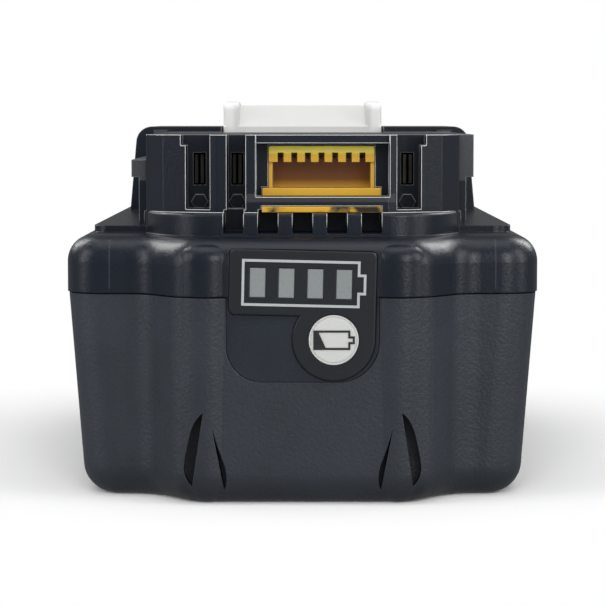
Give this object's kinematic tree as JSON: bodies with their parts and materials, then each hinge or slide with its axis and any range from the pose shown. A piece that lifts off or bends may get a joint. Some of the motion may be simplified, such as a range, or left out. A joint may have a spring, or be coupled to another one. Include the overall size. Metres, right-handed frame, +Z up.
{
  "type": "power tool battery pack",
  "caption": "Slide-on rechargeable battery pack for power tools, with a rail head, a release latch, a charge gauge and its check button.",
  "frame": {"origin": "middle of the base", "axes": "+Z up, +X across the width to the right as seen from the gauge end, +Y from the gauge end to the latch end"},
  "size_m": [0.075, 0.114, 0.0632],
  "materials": {
    "case_plastic": "satin, fine spark-eroded grain",
    "latch_plastic": "satin",
    "spring_steel": "drawn wire",
    "panel_rubber": "soft matt",
    "print_silver": "printed line",
    "window_plastic": "translucent grey",
    "button_plastic": "satin",
    "print_dark": "printed line",
    "board_fibreglass": "solder resist",
    "lamp_resin": "clear resin",
    "switch_plastic": "moulded",
    "lead_film": "polyimide film",
    "holder_plastic": "moulded",
    "insulator_fibre": "pressed fibre sheet",
    "thermistor_epoxy": "dipped bead",
    "screw_steel": "zinc plated",
    "chip_resin": "moulded epoxy",
    "contact_copper": "stamped, tin plated",
    "terminal_plastic": "glass filled nylon",
    "cell_wrap": "heat-shrink sleeve",
    "link_nickel": "rolled nickel"
  },
  "bodies": {
    "housing": {"lower_case": "case_plastic", "upper_case": "case_plastic", "latch_spring_left": "spring_steel", "latch_spring_right": "spring_steel", "gauge_panel": "panel_rubber", "gauge_outline": "print_silver", "gauge_window_1": "window_plastic", "gauge_window_2": "window_plastic", "gauge_window_3": "window_plastic", "gauge_window_4": "window_plastic", "gauge_board": "board_fibreglass", "main_board": "board_fibreglass", "gauge_lamps": "lamp_resin", "check_switch": "switch_plastic", "gauge_lead": "lead_film", "cell_holder_left": "holder_plastic", "cell_holder_right": "holder_plastic", "insulator_left": "insulator_fibre", "insulator_right": "insulator_fibre", "thermistor": "thermistor_epoxy", "board_screws": "screw_steel", "case_screws": "screw_steel", "board_components": "chip_resin", "positive_contact": "contact_copper", "sense_contact": "contact_copper", "negative_contact": "contact_copper", "signal_pins": "contact_copper", "terminal_block": "terminal_plastic", "cell_01": "cell_wrap", "cell_02": "cell_wrap", "cell_03": "cell_wrap", "cell_04": "cell_wrap", "cell_05": "cell_wrap", "cell_06": "cell_wrap", "cell_07": "cell_wrap", "cell_08": "cell_wrap", "cell_09": "cell_wrap", "cell_10": "cell_wrap", "cell_link_left_1": "link_nickel", "cell_link_left_2": "link_nickel", "cell_link_left_3": "link_nickel", "cell_link_right_1": "link_nickel", "cell_link_right_2": "link_nickel", "cell_link_right_3": "link_nickel"},
    "latch": {"latch": "latch_plastic"},
    "check_button": {"check_button": "button_plastic", "check_icon": "print_dark"},
    "switch_plunger": {"switch_plunger": "switch_plastic"}
  },
  "joints": [
    {"name": "latch_slide", "type": "slide", "parent": "housing", "child": "latch", "axis": [0, 0, -1], "range_m": [0, 0.0046], "stiffness_N_per_m": 600, "springref_m": -0.004, "deforming": ["latch_spring_left", "latch_spring_right"]},
    {"name": "button_press", "type": "slide", "parent": "housing", "child": "check_button", "axis": [0, 1, 0], "range_m": [0, 0.0005], "stiffness_N_per_m": 1500, "springref_m": -0.0004},
    {"name": "plunger_slide", "type": "slide", "parent": "housing", "child": "switch_plunger", "axis": [0, 1, 0], "range_m": [0, 0.0005]}
  ],
  "couplings": [
    {"joint": "plunger_slide", "follows": "button_press", "ratio": 1}
  ]
}
